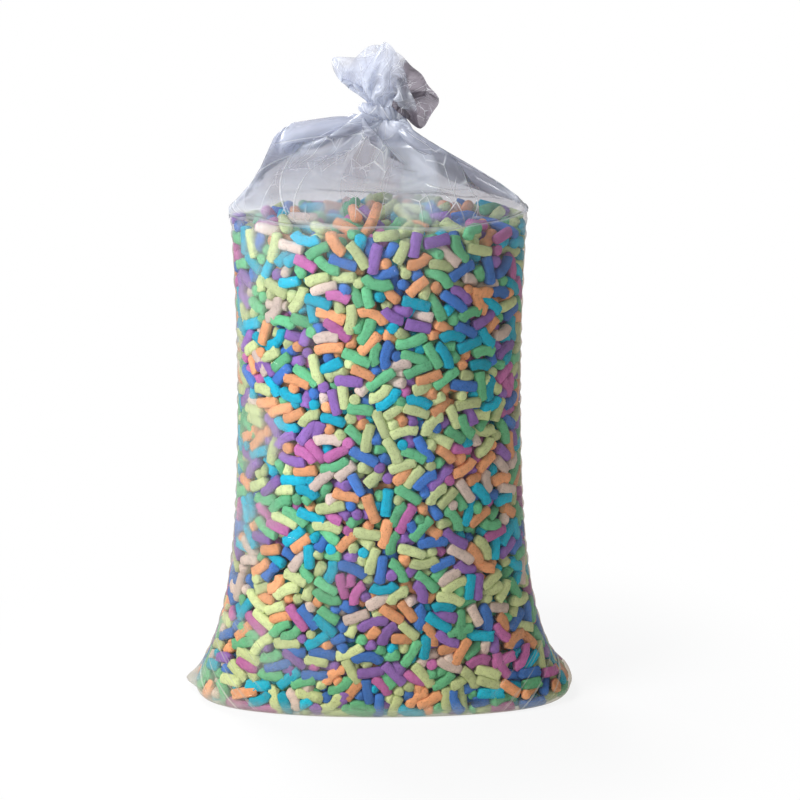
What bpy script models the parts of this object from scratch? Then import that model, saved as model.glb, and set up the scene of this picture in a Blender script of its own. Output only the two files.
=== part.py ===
"""Clear film bag of coloured starch packing peanuts, tied shut by a knot in its own neck.

Units are metres and +Z is up. The bag stands on Z = 0, with its lay-flat side creases along X.
"""

import math
import random

import bmesh
import bpy
import numpy as np
from mathutils import Matrix, Vector
from mathutils.geometry import delaunay_2d_cdt

# Film tube: its width when it lies flat and empty, and its wall
FLAT_WIDTH = 0.470
FILM_THICKNESS = 0.0001

# Outline of the filled bag, from the floor up
WAIST_HALF_WIDTH = 0.168
EAR_REACH = 0.058  # how far the bottom corners stand out past the waist
EAR_HEIGHT = 0.014
EAR_TIP = 0.007  # how far the ends of the bottom seam stick out of the corners
EAR_TALL = 0.024
EAR_SPREAD = 0.1
EAR_TUCK = 0.012  # how much less deep the bag is at its corners than at its waist
FOOT_INSET_X = 0.012  # from the corner tips in to the flat patch that stands on the floor
FOOT_INSET_Y = 0.006
FLARE_HEIGHT = 0.100  # how fast the corners fade into the waist
WAIST_HEIGHT = 0.360
SHOULDER_HEIGHT = 0.595  # the crease where the film leaves the peanuts
SHOULDER_REACH = 0.007
CORNER_POINT = -0.3  # how pointed the section is at the bottom, 0 for an ellipse, less for a box
SHOULDER_POINT = 0.3

# Gathered top: pleats from the shoulder to the knot, and the two free ends of the mouth
NECK_RISE = 0.111  # from the shoulder crease up to the knot
NECK_X = 0.005
NECK_RADIUS = 0.015
NECK_LENGTH = 0.008
PLEATS = 12
PLEAT_DEPTH = 0.005
NECK_PLEAT_DEPTH = 0.002
SLACK_LEFT = 2.6  # how full the film bulges between shoulder and knot, 1 for a straight cone
SLACK_RIGHT = 1.05
KNOT_RADIUS = 0.016
KNOT_THICKNESS = 0.0065
KNOT_TILT = math.radians(12)
MOUTH_LIFT = 0.014  # how far the film runs straight up out of the knot before it splays
MOUTH_PLEAT_DEPTH = 0.0022
MOUTH_RIM = (  # the tube's open mouth beyond the knot, measured from the knot's middle
    (0.066, 0.006, 0.018),
    (0.052, -0.004, -0.006),
    (0.034, -0.016, 0.050),
    (0.018, -0.020, 0.078),
    (0.002, -0.018, 0.090),
    (-0.012, -0.014, 0.076),
    (-0.052, -0.006, 0.068),
    (-0.036, 0.008, 0.052),
    (-0.016, 0.014, 0.076),
    (0.008, 0.016, 0.080),
    (0.030, 0.018, 0.066),
    (0.054, 0.014, 0.048),
)

# Peanuts
PEANUT_DIAMETER = 0.0144
PEANUT_LENGTH = 0.032
PEANUT_LENGTH_SPREAD = 0.004
HALF_HIDDEN_LENGTH = 0.0185  # what shows of a packed peanut that goes in under its neighbours
MOST_BEND = 1.1  # radians from end to end
END_ROUND = 0.0035  # length over which a peanut's ends soften
PACKED_PEANUTS = 560
HALF_HIDDEN_PEANUTS = 470
TOP_PEANUTS = 60
LOOSE_PEANUTS = 32
LOOSE_TRIES = 6000
RELIEF = 0.0055  # how far a packed peanut stands out of the heap's outside
FILM_SLACK_X = 0.004  # air between the peanuts and the side creases
FILM_SLACK_Y = 0.0012
RIM_DROP = 0.014  # from the shoulder crease down to the edge of the heap's top
DOME_RISE = 0.022
PACKED_OVERLAP = 0.0017  # how far packed peanuts may press into each other
HALF_HIDDEN_OVERLAP = 0.0032
SIDE_MARGIN = 0.0005
RIM_MARGIN = 0.003  # from the heap's rim in to the nearest peanut of its top
LOOSE_MARGIN = 0.010  # from the heap's rim in to the ends of the peanuts that lie loose on its top
LOOSE_OVAL = (0.137, 0.090)  # half-width and half-depth of the oval that their pattern is drawn on
LOOSE_GAP = 0.0045  # between them on that oval
REST_GAP = 0.0003
SEED = 11

# Mesh resolution
COLUMNS = 60
FOOT_ROWS = 3
FLARE_ROWS = 6
BODY_ROWS = 4
PLEAT_ROWS = 8
MOUTH_ROWS = 6
PEANUT_SIDES = 8

COLOURS = {
    "peanut_cyan": (0.00, 0.46, 0.66),
    "peanut_blue": (0.05, 0.19, 0.56),
    "peanut_purple": (0.28, 0.13, 0.50),
    "peanut_pink": (0.52, 0.13, 0.42),
    "peanut_green": (0.10, 0.55, 0.28),
    "peanut_lime": (0.50, 0.66, 0.28),
    "peanut_peach": (0.82, 0.36, 0.18),
    "peanut_blush": (0.76, 0.54, 0.48),
}
HEAP_COLOUR = (0.16, 0.22, 0.24)

GIRTH = 2 * FLAT_WIDTH
PEANUT_RADIUS = PEANUT_DIAMETER / 2
SHOULDER_HALF_WIDTH = WAIST_HALF_WIDTH + SHOULDER_REACH
NECK_HEIGHT = SHOULDER_HEIGHT + NECK_RISE
HEAP_FLOOR = FILM_THICKNESS + REST_GAP
HEAP_RIM = SHOULDER_HEIGHT - RIM_DROP
SPINE_STEPS = (-1, -0.5, 0, 0.5, 1)  # along a peanut's middle line, for keeping peanuts clear


def ellipse_girth(half_width, half_depth):
    """Ramanujan's formula for the length round an ellipse."""
    total = half_width + half_depth
    flatness = ((half_width - half_depth) / total) ** 2
    return math.pi * total * (1 + 3 * flatness / (10 + math.sqrt(4 - 3 * flatness)))


def half_depth_of_tube(half_width):
    """Half-depth that is left to the film tube when it's filled to this half-width."""
    low, high = 0.0, GIRTH / 2
    for _ in range(40):
        middle = (low + high) / 2
        if ellipse_girth(half_width, middle) < GIRTH:
            low = middle
        else:
            high = middle
    return high


WAIST_HALF_DEPTH = half_depth_of_tube(WAIST_HALF_WIDTH)
SHOULDER_HALF_DEPTH = half_depth_of_tube(SHOULDER_HALF_WIDTH)


def fade(height):
    """1 at the bottom corners, falling off towards the waist."""
    return math.exp(-(height - EAR_HEIGHT) / FLARE_HEIGHT)


def swell(height):
    """0 up to the waist, growing to 1 at the shoulder."""
    return max(0.0, (height - WAIST_HEIGHT) / (SHOULDER_HEIGHT - WAIST_HEIGHT)) ** 2


def body_section(height):
    """(half-width, half-depth, pointedness) of the filled bag at a height above its corners."""
    half_width = WAIST_HALF_WIDTH + EAR_REACH * fade(height) + SHOULDER_REACH * swell(height)
    shallower = WAIST_HALF_DEPTH - SHOULDER_HALF_DEPTH
    half_depth = WAIST_HALF_DEPTH - EAR_TUCK * fade(height) - shallower * swell(height)
    pointed = 1 + CORNER_POINT * fade(height) + SHOULDER_POINT * swell(height)
    return half_width, half_depth, pointed


def foot_section(share):
    """The same between the flat patch on the floor, at share 0, and the corner tips, at share 1."""
    half_width, half_depth, pointed = body_section(EAR_HEIGHT)
    tucked = 1 - math.sin(share * math.pi / 2)
    height = EAR_HEIGHT * (1 - math.cos(share * math.pi / 2))
    return height, (half_width - FOOT_INSET_X * tucked, half_depth - FOOT_INSET_Y * tucked, pointed)


def on_section(section, angle, height, inset_x=0.0, inset_y=0.0):
    """Point of a section: an ellipse at pointedness 1, with sharper ends along X above that."""
    half_width, half_depth, pointed = section
    across = math.sin(angle)
    depth = math.copysign(abs(across) ** pointed, across)
    return Vector(((half_width - inset_x) * math.cos(angle), (half_depth - inset_y) * depth, height))


def column_angles(count):
    """Angles round a section, from the middle of its back."""
    return [math.pi / 2 + 2 * math.pi * i / count for i in range(count)]


ANGLES = column_angles(COLUMNS)


def ring_of(section, height, inset_x=0.0, inset_y=0.0):
    return [on_section(section, angle, height, inset_x, inset_y) for angle in ANGLES]


def film_ring(section, height):
    """Ring of the film, with the ends of its bottom seam pulled out into flat ears."""
    points = ring_of(section, height)
    level = max(0.0, 1 - abs(height - EAR_HEIGHT) / EAR_TALL)
    for angle, point in zip(ANGLES, points):
        near = max(0.0, 1 - abs(math.sin(angle)) / EAR_SPREAD)
        point.x += math.copysign(EAR_TIP * level * near, math.cos(angle))
    return points


def principled(name, colour, roughness, alpha=1.0):
    """Principled BSDF material."""
    material = bpy.data.materials.new(name)
    material.use_nodes = True
    shader = material.node_tree.nodes["Principled BSDF"]
    shader.inputs["Base Color"].default_value = (*colour, 1)
    shader.inputs["Roughness"].default_value = roughness
    shader.inputs["Alpha"].default_value = alpha
    return material


def new_object(name, bm, materials):
    """Object from a bmesh, with its faces turned outwards."""
    bmesh.ops.recalc_face_normals(bm, faces=bm.faces)
    mesh = bpy.data.meshes.new(name)
    bm.to_mesh(mesh)
    bm.free()
    for material in materials:
        mesh.materials.append(material)
    obj = bpy.data.objects.new(name, mesh)
    bpy.context.scene.collection.objects.link(obj)
    return obj


def loft(bm, rings):
    """Quads between each ring of points and the next. Returns the rings of vertices."""
    rows = [[bm.verts.new(point) for point in ring] for ring in rings]
    for lower, upper in zip(rows, rows[1:]):
        for i in range(len(lower)):
            j = (i + 1) % len(lower)
            bm.faces.new((lower[i], lower[j], upper[j], upper[i]))
    return rows


def thicken(obj, thickness):
    """Gives a film surface its wall, inwards from the face that shows."""
    wall = obj.modifiers.new("film_wall", "SOLIDIFY")
    wall.thickness = thickness
    wall.offset = -1


def gathered_ring(share):
    """Ring of the pleated film at a share of the way from the shoulder crease, 0, to the knot, 1."""
    out = (1 - share) ** 1.3
    loose = 4 * out * (1 - out)
    points = []
    for angle in ANGLES:
        crease = on_section(body_section(SHOULDER_HEIGHT), angle, 0)
        neck = Vector((NECK_X + NECK_RADIUS * math.cos(angle), NECK_RADIUS * math.sin(angle), 0))
        slack = SLACK_RIGHT + (SLACK_LEFT - SLACK_RIGHT) * (1 - math.cos(angle)) / 2
        wave = math.cos(PLEATS * angle)
        point = neck.lerp(crease, out)
        outward = Vector((math.cos(angle), math.sin(angle), 0))
        point += outward * wave * (NECK_PLEAT_DEPTH * (1 - out) + PLEAT_DEPTH / 2 * loose)
        point.z = SHOULDER_HEIGHT + NECK_RISE * (1 - out**slack) + PLEAT_DEPTH * wave * loose
        points.append(point)
    return points


def rim_point(share):
    """Point of the mouth's rim at a share of the way round it, from the right by the front."""
    count = len(MOUTH_RIM)
    start = int(share * count) % count
    part = share * count - int(share * count)
    before, first, last, after = (Vector(MOUTH_RIM[(start + k) % count]) for k in (-1, 0, 1, 2))
    slope_in, slope_out = (last - before) / 2, (after - first) / 2
    value = first * (1 + 2 * part) * (1 - part) ** 2 + last * (3 - 2 * part) * part**2
    value += slope_in * part * (1 - part) ** 2 - slope_out * part**2 * (1 - part)
    return value + Vector((NECK_X, 0, NECK_HEIGHT + NECK_LENGTH / 2))


def mouth_ring(share):
    """Ring of the free end beyond the knot, at a share of the way from the neck to the mouth's rim."""
    points = []
    for angle in ANGLES:
        outward = Vector((math.cos(angle), math.sin(angle), 0))
        neck = Vector((NECK_X, 0, NECK_HEIGHT + NECK_LENGTH)) + outward * NECK_RADIUS
        over = neck + Vector((0, 0, MOUTH_LIFT))
        rim = rim_point(-angle / (2 * math.pi) % 1)
        point = neck.lerp(over, share).lerp(over.lerp(rim, share), share)
        depth = NECK_PLEAT_DEPTH + (MOUTH_PLEAT_DEPTH - NECK_PLEAT_DEPTH) * share
        points.append(point + outward * depth * math.cos(PLEATS * angle))
    return points


def knot(film):
    """The film's own turn round its neck."""
    place = Vector((NECK_X, 0, NECK_HEIGHT + NECK_LENGTH / 2))
    bpy.ops.mesh.primitive_torus_add(
        location=place,
        rotation=(0, KNOT_TILT, 0),
        major_radius=KNOT_RADIUS,
        minor_radius=KNOT_THICKNESS,
        major_segments=20,
        minor_segments=8,
    )
    obj = bpy.context.active_object
    obj.name = "knot_helper"
    obj.data.materials.append(film)
    return obj


def bag_film(film):
    """The bag: a film tube closed flat across its bottom, filled, gathered, knotted and open at its ends."""
    foot = [foot_section(i / FOOT_ROWS) for i in range(FOOT_ROWS)]
    flare_step = 2.2 * FLARE_HEIGHT / FLARE_ROWS
    heights = [EAR_HEIGHT + flare_step * i for i in range(FLARE_ROWS + 1)]
    body_step = (SHOULDER_HEIGHT - heights[-1]) / BODY_ROWS
    heights += [heights[-1] + body_step * (i + 1) for i in range(BODY_ROWS)]
    rings = [film_ring(section, height) for height, section in foot]
    rings += [film_ring(body_section(height), height) for height in heights]
    rings += [gathered_ring((i + 1) / PLEAT_ROWS) for i in range(PLEAT_ROWS)]
    rings += [mouth_ring(i / MOUTH_ROWS) for i in range(MOUTH_ROWS + 1)]
    bm = bmesh.new()
    rows = loft(bm, rings)
    bm.faces.new(rows[0])
    obj = new_object("bag_film", bm, [film])
    thicken(obj, FILM_THICKNESS)
    helper = knot(film)
    helper.hide_render = True
    helper.display_type = "WIRE"
    join = obj.modifiers.new("knot", "BOOLEAN")
    join.operation = "UNION"
    join.object = helper
    return obj


class Spot:
    """Where one peanut lies: its middle, its heading on the surface, its length, bend and colour."""

    def __init__(self, middle, heading, length, bend, colour, spine):
        self.middle = middle
        self.heading = heading
        self.length = length
        self.bend = bend
        self.colour = colour
        self.spine = spine  # points in space, along its middle line


def scatter(count, taken, draw, rng, gap, tries=14):
    """Up to count peanuts from draw() that keep clear of each other and of those already taken."""
    found = []
    others = np.array([point for spot in taken for point in spot.spine]).reshape(-1, 3)
    for _ in range(count * tries):
        if len(found) == count:
            break
        spot = draw(rng)
        if spot is None:
            continue
        spine = np.array(spot.spine)
        apart = np.linalg.norm(others[:, None] - spine[None], axis=2)
        if apart.size and apart.min() < 2 * PEANUT_RADIUS + gap:
            continue
        found.append(spot)
        others = np.vstack((others, spine))
    return found


def spread_length(rng, length):
    return length + rng.uniform(-PEANUT_LENGTH_SPREAD, PEANUT_LENGTH_SPREAD)


def footprint(length, margin):
    """Corners of the rectangle that a peanut covers, with a margin round it."""
    half, radius = length / 2 + margin, PEANUT_RADIUS + margin
    return ((-half, -radius), (half, -radius), (half, radius), (-half, radius))


def turn(point, heading):
    cos, sin = math.cos(heading), math.sin(heading)
    return point[0] * cos - point[1] * sin, point[0] * sin + point[1] * cos


def heap_side_point(angle, height, depth):
    """Point of the heap's side, at a depth below the tops of its outermost peanuts."""
    section = body_section(height)
    return on_section(section, angle, height, FILM_SLACK_X + depth, FILM_SLACK_Y + depth)


def rim_share(x, y):
    """0 in the middle of the heap's top, growing to 1 at its rim."""
    half_width, half_depth, pointed = body_section(HEAP_RIM)
    half_width -= FILM_SLACK_X + RELIEF
    half_depth -= FILM_SLACK_Y + RELIEF
    return (x / half_width) ** 2 + abs(y / half_depth) ** (2 / pointed)


def heap_top_point(x, y, above=0.0):
    """Point of the heap's domed top."""
    return Vector((x, y, HEAP_RIM + DOME_RISE * max(0.0, 1 - rim_share(x, y)) + above))


def side_scale(angle, height):
    """Metres along the heap's side for each radian round it and for each metre of height."""
    step = 1e-4
    here = heap_side_point(angle, height, 0)
    round_it = (heap_side_point(angle + step, height, 0) - here).length / step
    up = (heap_side_point(angle, height + step, 0) - here).length / step
    return max(round_it, PEANUT_DIAMETER), up


def side_draw(rng, usual_length):
    """A peanut anywhere on the heap's side, or None where it would cross the border of that patch."""
    height = EAR_HEIGHT + rng.random() * (HEAP_RIM - EAR_HEIGHT)
    angle = math.pi / 2 + rng.uniform(0, 2 * math.pi)
    heading = rng.uniform(0, math.pi)
    length = spread_length(rng, usual_length)
    colour = rng.choice(list(COLOURS))
    round_it, up = side_scale(angle, height)
    for corner in footprint(length, SIDE_MARGIN):
        across, rise = turn(corner, heading)
        if not math.pi / 2 < angle + across / round_it < 5 * math.pi / 2:
            return None
        if not EAR_HEIGHT < height + rise / up < HEAP_RIM:
            return None
    spine = []
    for step in SPINE_STEPS:
        along = step * (length / 2 - END_ROUND)
        turned = angle + along * math.cos(heading) / round_it
        raised = height + along * math.sin(heading) / up
        spine.append(heap_side_point(turned, raised, PEANUT_RADIUS))
    return Spot((angle, height), heading, length, 0, colour, spine)


def top_spot(x, y, heading, length, bend, colour):
    """A peanut on the heap's top."""
    sag = length * bend / 8
    spine = []
    for step in SPINE_STEPS:
        dx, dy = turn((step * (length / 2 - END_ROUND), sag * step**2), heading)
        spine.append(heap_top_point(x + dx, y + dy, PEANUT_RADIUS))
    return Spot((x, y), heading, length, bend, colour, spine)


def top_draw(rng, usual_length):
    """A straight peanut anywhere on the heap's top, or None where it would cross its rim."""
    half_width, half_depth, _ = body_section(HEAP_RIM)
    x = rng.uniform(-1, 1) * half_width
    y = rng.uniform(-1, 1) * half_depth
    heading = rng.uniform(0, 2 * math.pi)
    length = spread_length(rng, usual_length)
    colour = rng.choice(list(COLOURS))
    for corner in footprint(length, RIM_MARGIN):
        dx, dy = turn(corner, heading)
        if rim_share(x + dx, y + dy) > 1:
            return None
    return top_spot(x, y, heading, length, 0, colour)


def loose_pattern(rng):
    """(across, back, heading, length, bend, colour) of each loose peanut, its place as a share of the top.

    It is drawn on an oval of its own, so that the same peanuts lie on a heap of any size.
    """
    found = []
    others = np.zeros((0, 2))
    for _ in range(LOOSE_TRIES):
        if len(found) == LOOSE_PEANUTS:
            break
        out, way = math.sqrt(rng.random()), rng.uniform(0, 2 * math.pi)
        across, back = out * math.cos(way), out * math.sin(way)
        heading = rng.uniform(0, 2 * math.pi)
        length = spread_length(rng, PEANUT_LENGTH)
        bend = rng.uniform(-MOST_BEND, MOST_BEND)
        colour = rng.choice(list(COLOURS))
        spine = []
        for step in SPINE_STEPS:
            dx, dy = turn((step * (length / 2 - END_ROUND), length * bend / 8 * step**2), heading)
            spine.append((across * LOOSE_OVAL[0] + dx, back * LOOSE_OVAL[1] + dy))
        apart = np.linalg.norm(others[:, None] - np.array(spine)[None], axis=2)
        if apart.size and apart.min() < PEANUT_DIAMETER + LOOSE_GAP:
            continue
        found.append((across, back, heading, length, bend, colour))
        others = np.vstack((others, spine))
    return found


def loose_spots(rng):
    """The loose peanuts, with their pattern fitted to the heap's top."""
    half_width, half_depth, _ = body_section(HEAP_RIM)
    reach = PEANUT_LENGTH / 2 + LOOSE_MARGIN
    spots = []
    for across, back, heading, length, bend, colour in loose_pattern(rng):
        x, y = across * (half_width - reach), back * (half_depth - reach)
        spots.append(top_spot(x, y, heading, length, bend, colour))
    return spots


def relief_patch(bm, border, spots, scale, to_space, seats=()):
    """Triangulates a flat patch with a ridged lump for each peanut, and lifts it into space.

    border is the patch's outline, scale(spot) says how far a metre on the surface reaches there in the
    patch's own coordinates, to_space(x, y, depth) gives the point in space, and seats are points of the
    bare surface that loose peanuts rest on.
    """
    points = [Vector(p) for p in border]
    depths = [RELIEF] * len(points)
    edges = []
    outlines = [list(range(len(points)))]
    points += [Vector(seat) for seat in seats]
    depths += [RELIEF] * len(seats)
    for spot in spots:
        per_x, per_y = scale(spot)
        first = len(points)
        crest = spot.length / 2 - END_ROUND
        ridge = ((-crest, 0), (crest, 0))
        for group, depth in ((footprint(spot.length, 0), RELIEF), (ridge, 0.0)):
            for corner in group:
                dx, dy = turn(corner, spot.heading)
                points.append(Vector((spot.middle[0] + dx * per_x, spot.middle[1] + dy * per_y)))
                depths.append(depth)
        outlines.append(list(range(first, first + 4)))
        edges.append((first + 4, first + 5))
    made = delaunay_2d_cdt(points, edges, outlines, 1, 1e-7, True)
    flat, _, faces, from_points, _, from_outlines = made
    verts = []
    for point, sources in zip(flat, from_points):
        depth = depths[sources[0]] if sources else RELIEF
        verts.append(bm.verts.new(to_space(point.x, point.y, depth)))
    names = list(COLOURS)
    for face, sources in zip(faces, from_outlines):
        made_face = bm.faces.new([verts[i] for i in face])
        lumps = [source for source in sources if source > 0]
        if lumps:
            made_face.material_index = 1 + names.index(spots[lumps[0] - 1].colour)


def side_border():
    """Outline of the heap's side, unrolled as angle and height."""
    low, high = EAR_HEIGHT, HEAP_RIM
    bottom = [(math.pi / 2 + 2 * math.pi * i / COLUMNS, low) for i in range(COLUMNS + 1)]
    top = [(angle, high) for angle, _ in reversed(bottom)]
    rows = round((high - low) / (PEANUT_LENGTH * 0.8))
    heights = [low + (high - low) * i / rows for i in range(1, rows)]
    right = [(bottom[-1][0], height) for height in heights]
    left = [(bottom[0][0], height) for height in reversed(heights)]
    return bottom + right + top + left


def side_patch_scale(spot):
    round_it, up = side_scale(*spot.middle)
    return 1 / round_it, 1 / up


def top_patch_scale(_spot):
    return 1, 1


def heap_top_from_patch(x, y, depth):
    return heap_top_point(x, y, RELIEF - depth)


def heap_foot(bm):
    """The heap's plain underside, from the corner tips down to the flat patch on the film."""
    rings = []
    for i in range(FOOT_ROWS + 1):
        height, section = foot_section(i / FOOT_ROWS)
        inset_x, inset_y = FILM_SLACK_X + RELIEF, FILM_SLACK_Y + RELIEF
        lift = HEAP_FLOOR * (1 - i / FOOT_ROWS)
        rings.append(ring_of(section, height + lift, inset_x, inset_y))
    bm.faces.new(loft(bm, rings)[0])


def peanut_heap(packed, top, loose, materials):
    """The packed peanuts as one solid, with the outermost ones standing out of it."""
    bm = bmesh.new()
    heap_foot(bm)
    relief_patch(bm, side_border(), packed, side_patch_scale, heap_side_point)
    rim = [heap_side_point(angle, HEAP_RIM, RELIEF) for angle in ANGLES]
    border = [(point.x, point.y) for point in rim]
    seats = [(point.x, point.y) for spot in loose for point in spot.spine]
    relief_patch(bm, border, top, top_patch_scale, heap_top_from_patch, seats)
    bmesh.ops.remove_doubles(bm, verts=bm.verts, dist=2e-5)
    return new_object("peanut_heap", bm, materials)


def loose_peanut(name, spot, material):
    """One whole peanut: a bent round rod with softened ends, lying on the heap's top."""
    bend = spot.bend or 1e-3
    radius_of_bend = spot.length / bend
    rings = []
    soft = END_ROUND / spot.length
    for share, girth in ((0, 0.6), (soft, 1), (0.5, 1), (1 - soft, 1), (1, 0.6)):
        turn = bend * (share - 0.5)
        middle = Vector((radius_of_bend * math.sin(turn), radius_of_bend * (1 - math.cos(turn)), 0))
        outward = Vector((-math.sin(turn), math.cos(turn), 0))
        ring = []
        for i in range(PEANUT_SIDES):
            angle = 2 * math.pi * i / PEANUT_SIDES
            reach = outward * math.cos(angle) + Vector((0, 0, math.sin(angle)))
            ring.append(middle + reach * PEANUT_RADIUS * girth)
        rings.append(ring)
    bm = bmesh.new()
    rows = loft(bm, rings)
    bm.faces.new(rows[0])
    bm.faces.new(rows[-1])
    obj = new_object(name, bm, [material])
    obj.data.shade_smooth()
    obj.data.set_sharp_from_angle(angle=math.radians(50))
    x, y = spot.middle
    step = 1e-3
    slope_x = (heap_top_point(x + step, y).z - heap_top_point(x - step, y).z) / (2 * step)
    slope_y = (heap_top_point(x, y + step).z - heap_top_point(x, y - step).z) / (2 * step)
    normal = Vector((-slope_x, -slope_y, 1)).normalized()
    tilt = Vector((0, 0, 1)).rotation_difference(normal).to_matrix().to_4x4()
    place = heap_top_point(x, y) + normal * (PEANUT_RADIUS + REST_GAP)
    obj.matrix_world = Matrix.Translation(place) @ tilt @ Matrix.Rotation(spot.heading, 4, "Z")
    return obj


def main():
    for obj in list(bpy.data.objects):
        bpy.data.objects.remove(obj)
    rng = random.Random(SEED)
    film = principled("clear_film", (0.86, 0.88, 0.92), 0.12, 0.25)
    colours = {name: principled(name, colour, 0.75) for name, colour in COLOURS.items()}
    heap = principled("heap_shade", HEAP_COLOUR, 0.9)
    loose = loose_spots(rng)
    packed, top = [], []
    for count, length, overlap in (
        (PACKED_PEANUTS, PEANUT_LENGTH, PACKED_OVERLAP),
        (HALF_HIDDEN_PEANUTS, HALF_HIDDEN_LENGTH, HALF_HIDDEN_OVERLAP),
    ):
        packed += scatter(count, packed, lambda r: side_draw(r, length), rng, -overlap, 40)
        top += scatter(TOP_PEANUTS, loose + top, lambda r: top_draw(r, length), rng, REST_GAP, 40)
    bag_film(film)
    peanut_heap(packed, top, loose, [heap, *colours.values()])
    for number, spot in enumerate(loose, 1):
        loose_peanut(f"loose_peanut_{number:02d}", spot, colours[spot.colour])


main()
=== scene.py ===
"""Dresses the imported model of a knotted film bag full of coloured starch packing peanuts.

The peanuts are modelled once, as a few forms, and copied into a loose packing that settles inside the
bag. The film is one sheet of tube: it lies on the peanuts, is gathered into folds over them, and opens
out again beyond its knot.
"""

import math

import bpy
import numpy as np
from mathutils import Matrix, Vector


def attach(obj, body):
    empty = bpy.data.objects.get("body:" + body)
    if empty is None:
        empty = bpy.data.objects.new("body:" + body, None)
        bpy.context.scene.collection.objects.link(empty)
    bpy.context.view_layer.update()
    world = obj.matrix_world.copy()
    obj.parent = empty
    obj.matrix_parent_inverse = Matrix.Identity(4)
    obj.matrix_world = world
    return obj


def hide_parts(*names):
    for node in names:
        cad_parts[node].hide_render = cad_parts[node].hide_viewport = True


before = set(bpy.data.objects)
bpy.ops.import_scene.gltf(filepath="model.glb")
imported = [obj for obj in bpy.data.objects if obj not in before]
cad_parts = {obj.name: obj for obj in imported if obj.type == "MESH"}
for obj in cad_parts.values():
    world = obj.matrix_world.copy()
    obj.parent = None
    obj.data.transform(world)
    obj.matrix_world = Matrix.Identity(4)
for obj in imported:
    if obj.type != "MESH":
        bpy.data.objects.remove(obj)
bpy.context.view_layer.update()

# The film tube and the filled bag's outline, close to the part's source
FLAT_WIDTH = 0.470
WAIST_HALF_WIDTH = 0.168
EAR_REACH = 0.058
EAR_HEIGHT = 0.014
EAR_TUCK = 0.012
FOOT_INSET_X = 0.009
FOOT_INSET_Y = 0.006
FLARE_HEIGHT = 0.100
WAIST_HEIGHT = 0.360
SHOULDER_HEIGHT = 0.595
SHOULDER_REACH = 0.007
CORNER_POINT = -0.42
SHOULDER_POINT = 0.3
NECK_RISE = 0.111
NECK_X = 0.005
NECK_LENGTH = 0.008
NECK_RADIUS = 0.015
KNOT_RADIUS = 0.016
KNOT_THICKNESS = 0.005
KNOT_TILT = math.radians(12)
KNOT_LEAN = math.radians(-6)
KNOT_WIDENING = 1.3
GIRTH = 2 * FLAT_WIDTH
NECK_HEIGHT = SHOULDER_HEIGHT + NECK_RISE
KNOT_MIDDLE = (NECK_X, 0, NECK_HEIGHT + NECK_LENGTH / 2)

# The two ends of the bottom seam: side, height of the tip, its reach and half its height
EARS = ((-1, 0.008, 0.015, 0.008), (1, 0.009, 0.003, 0.012))
EAR_SPREAD = 0.09
RIGHT_BULGE = 0.009
RIGHT_BULGE_HEIGHT = 0.008
RIGHT_BULGE_SPREAD = 0.018

# Where the peanuts may lie
RIM_DROP = 0.006  # the heap's edge lies that far under the shoulder crease
DOME_RISE = 0.034
FILM_CLEARANCE = 0.0008
FLOOR_CLEARANCE = 0.0006
PACKING_BOX = ((-0.235, -0.132, 0.0), (0.235, 0.132, 0.62))

# Peanuts
PEANUT_COUNT = 6700
PEANUT_RADIUS = 0.0067
PEANUT_LENGTH = 0.0315
PEANUT_LENGTH_SPREAD = 0.0045
PEANUT_SIDES = 10
PEANUT_BODY = 0.93  # share of its length that a peanut has without its domed ends
PEANUT_GIRTHS = (0.93, 1.05)
PEANUT_WAVE = 0.05
STRAIGHT_BEND = (0.05, 0.25)
CURLED_BEND = (0.5, 1.5)
CURLED_SHARE = 0.45
PRESSED = 0.75  # how much of its radius a peanut keeps from the film's line while it settles
LYING = 0.6  # how upright peanuts lie, 1 for any way and 0 for flat
WALL_SHARE = 0.86  # peanuts further out than that turn along the wall
SETTLING_STEPS = 90
SETTLING_DRIFT = 0.0007
NEIGHBOUR_MARGIN = 0.006
PEANUT_SEED = 3
PEANUT_ENDS = (
    {"dome": 0.035, "mouth": 0.74},
    {"dome": 0.070, "mouth": 0.58},
    {"dome": 0.050, "mouth": 0.68},
)
PEANUT_COLOURS = {
    "peanut_cyan": ((0.000, 0.440, 0.640), 0.15),
    "peanut_blue": ((0.050, 0.190, 0.600), 0.12),
    "peanut_purple": ((0.280, 0.140, 0.480), 0.08),
    "peanut_pink": ((0.540, 0.150, 0.420), 0.07),
    "peanut_green": ((0.140, 0.520, 0.260), 0.17),
    "peanut_lime": ((0.580, 0.680, 0.330), 0.20),
    "peanut_peach": ((0.840, 0.380, 0.180), 0.14),
    "peanut_blush": ((0.720, 0.580, 0.520), 0.08),
}

# The film's mesh, and its threads' computation: steps in each of three finenesses
COLUMNS = 320
BOTTOM_ROWS = 5
FOOT_ROWS = 14
BODY_ROW = 0.004
GATHER_ROWS = 72
TAIL_ROWS = 32
FOLDING_STEPS = (500, 260, 120)
FOLD_SEED = 5
FIRST_FOLDS = 0.0030
FINE_FOLDS = 0.0003
TAIL_FOLDS = 0.0022
BOTTOM_LIFT = 0.0002

# The gathers, from the shoulder to the knot
CREASE_BEND = (0.10, 0.45)
FOLD_HEIGHT = 0.018
FOLD_WAVES = ((4, 0.4), (9, 0.9), (13, 1.0), (18, 0.7))
SWING_WAVES = (3, 6, 10)
STREAK_WAVES = (3, 7, 12, 19, 31)
GATHER_LENGTH_LEFT = 0.226
GATHER_LENGTH_RIGHT = 0.188
GATHER_LEAN = 0.268
GATHER_END = 0.004  # how far under the knot the gathers end
SAG_STEP = 0.000006
AIR_PUSH = 0.0008
SIDE_RIPPLE = 0.0010
RIM_WAVE = 0.0022
RIM_WAVE_REACH = 0.035
NECK_FOLDS = 14
NECK_FOLD_DEPTH = 0.004

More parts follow.
